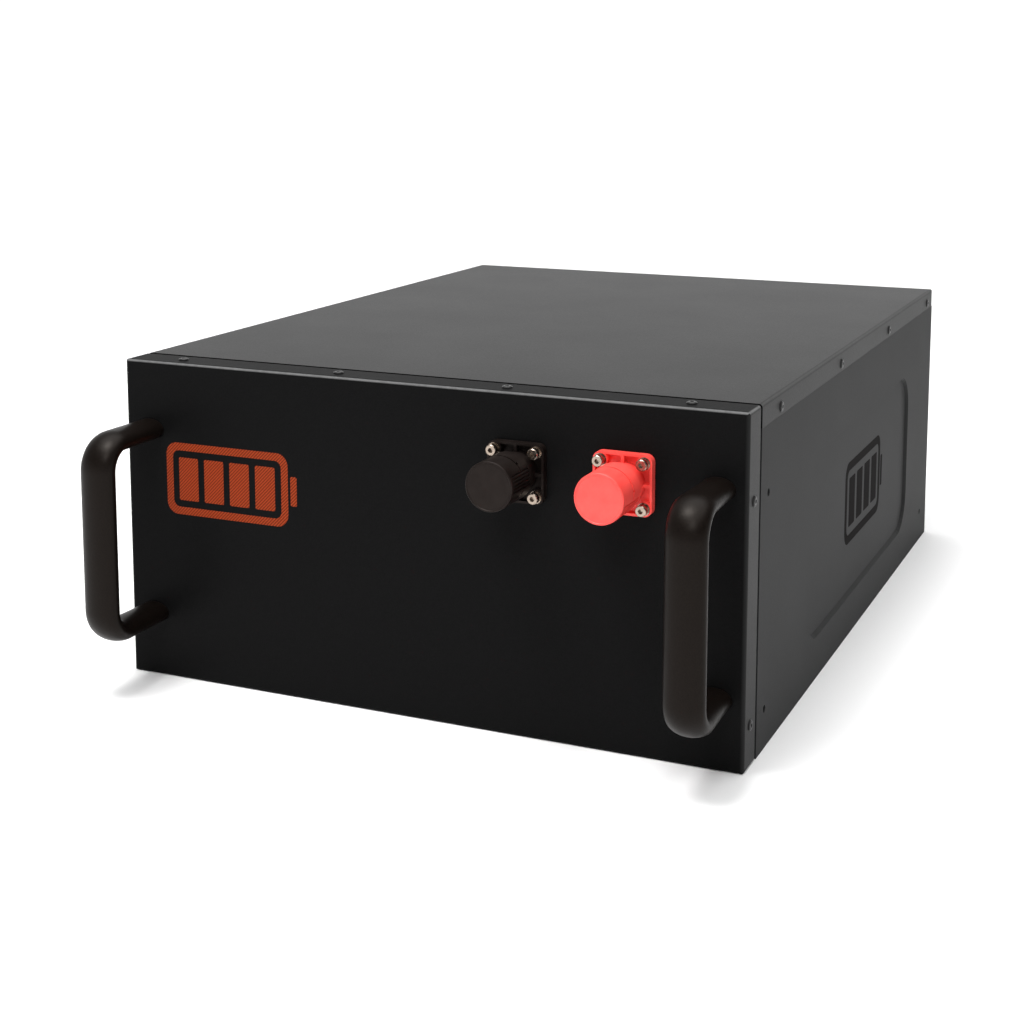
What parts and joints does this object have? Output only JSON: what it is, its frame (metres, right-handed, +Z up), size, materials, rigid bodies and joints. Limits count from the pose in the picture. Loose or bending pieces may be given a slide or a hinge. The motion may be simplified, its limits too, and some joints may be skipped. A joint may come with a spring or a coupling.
{
  "type": "server rack battery",
  "caption": "Rack-mount lithium battery: black folded steel case with bow handles, capped red and black power terminals and removable lid.",
  "frame": {"origin": "middle of the underside of the case, not counting the handles", "axes": "+X to the right seen from the front, +Y to the back, +Z up; the handles and terminals face -Y"},
  "size_m": [0.4442, 0.6464, 0.2231],
  "materials": {
    "case_paint": "satin",
    "handle_black": "satin",
    "black_screws": "satin",
    "nickel_steel": "polished",
    "black_nylon": "satin",
    "red_nylon": "satin",
    "copper": "satin",
    "red_cable": "matte",
    "black_cable": "matte",
    "cell_can": "satin",
    "insulating_sheet": "matte",
    "plain_aluminium": "satin",
    "circuit_board": "satin"
  },
  "bodies": {
    "case": {"chassis": "case_paint", "front_panel": "case_paint", "rear_panel": "case_paint", "lid": "case_paint", "front_rail": "case_paint", "handle_left": "handle_black", "handle_right": "handle_black", "front_top_screws": "black_screws", "front_side_screws": "black_screws", "lid_screws": "black_screws", "rear_screws": "black_screws", "handle_screws": "nickel_steel", "handle_washers": "nickel_steel", "clinch_nuts": "nickel_steel", "black_terminal_base": "black_nylon", "red_terminal_base": "red_nylon", "black_terminal_post": "copper", "red_terminal_post": "copper", "terminal_screws": "nickel_steel", "terminal_spring_washers": "nickel_steel", "terminal_flat_washers": "nickel_steel", "terminal_nuts": "nickel_steel", "post_bolts": "nickel_steel", "cable_lugs": "copper", "positive_cable": "red_cable", "negative_cable": "black_cable", "load_cable": "black_cable", "cell_1": "cell_can", "cell_2": "cell_can", "cell_3": "cell_can", "cell_4": "cell_can", "cell_5": "cell_can", "cell_6": "cell_can", "cell_7": "cell_can", "cell_8": "cell_can", "cell_9": "cell_can", "cell_10": "cell_can", "cell_11": "cell_can", "cell_12": "cell_can", "cell_13": "cell_can", "cell_14": "cell_can", "cell_15": "cell_can", "cell_16": "cell_can", "cell_sheets": "insulating_sheet", "base_sheet": "insulating_sheet", "front_end_plate": "plain_aluminium", "rear_end_plate": "plain_aluminium", "tie_rods": "nickel_steel", "tie_rod_nuts": "nickel_steel", "busbars": "copper", "cell_nuts": "nickel_steel", "cover_sheet": "insulating_sheet", "sense_boards": "circuit_board", "management_board": "circuit_board", "board_heatsink": "plain_aluminium", "board_bracket": "plain_aluminium"},
    "black_cap_liner": {"black_cap_liner": "black_nylon"},
    "black_cap": {"black_cap": "black_nylon"},
    "red_cap_liner": {"red_cap_liner": "red_nylon"},
    "red_cap": {"red_cap": "red_nylon"}
  },
  "joints": [
    {"name": "black_cap_pull", "type": "slide", "parent": "case", "child": "black_cap_liner", "axis": [0, -1, 0], "range_m": [0, 0.08]},
    {"name": "black_cap_turn", "type": "hinge", "parent": "black_cap_liner", "child": "black_cap", "pos_m": [0.0738, -0.32, 0.1727], "axis": [0, -1, 0], "continuous": true},
    {"name": "red_cap_pull", "type": "slide", "parent": "case", "child": "red_cap_liner", "axis": [0, -1, 0], "range_m": [0, 0.08]},
    {"name": "red_cap_turn", "type": "hinge", "parent": "red_cap_liner", "child": "red_cap", "pos_m": [0.1441, -0.32, 0.1727], "axis": [0, -1, 0], "continuous": true}
  ]
}
